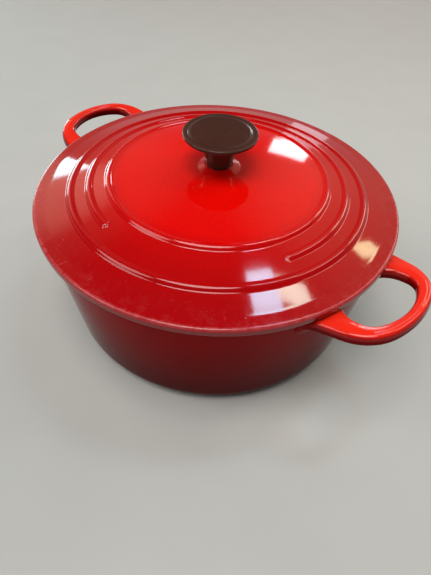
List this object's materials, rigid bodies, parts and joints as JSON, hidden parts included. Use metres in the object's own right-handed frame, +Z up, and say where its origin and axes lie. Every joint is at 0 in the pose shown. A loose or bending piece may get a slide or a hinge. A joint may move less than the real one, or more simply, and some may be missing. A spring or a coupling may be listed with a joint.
{
  "type": "dutch oven",
  "caption": "Round lidded cooking pot of enamelled cast iron, with a loop handle at each side, raised rings on the lid and a dark round knob.",
  "frame": {"origin": "middle of the base, on the surface that the pot stands on", "axes": "+X through the two handles, +Z up along the pot's axis"},
  "size_m": [0.3188, 0.252, 0.1466],
  "materials": {
    "red_enamel": "glossy red enamel on cast iron",
    "sand_enamel": "glossy pale enamel",
    "dark_phenolic": "satin",
    "brass": "turned",
    "steel": "bright zinc"
  },
  "bodies": {
    "pot": {"pot": "red_enamel", "pot_lining": "sand_enamel"},
    "lid": {"lid": "red_enamel", "lid_lining": "sand_enamel", "knob": "dark_phenolic", "knob_insert": "brass", "knob_screw": "steel", "lock_washer": "steel"}
  },
  "joints": [
    {"name": "lid_lift", "type": "slide", "parent": "pot", "child": "lid", "axis": [0, 0, 1], "range_m": [0, 0.2]}
  ]
}
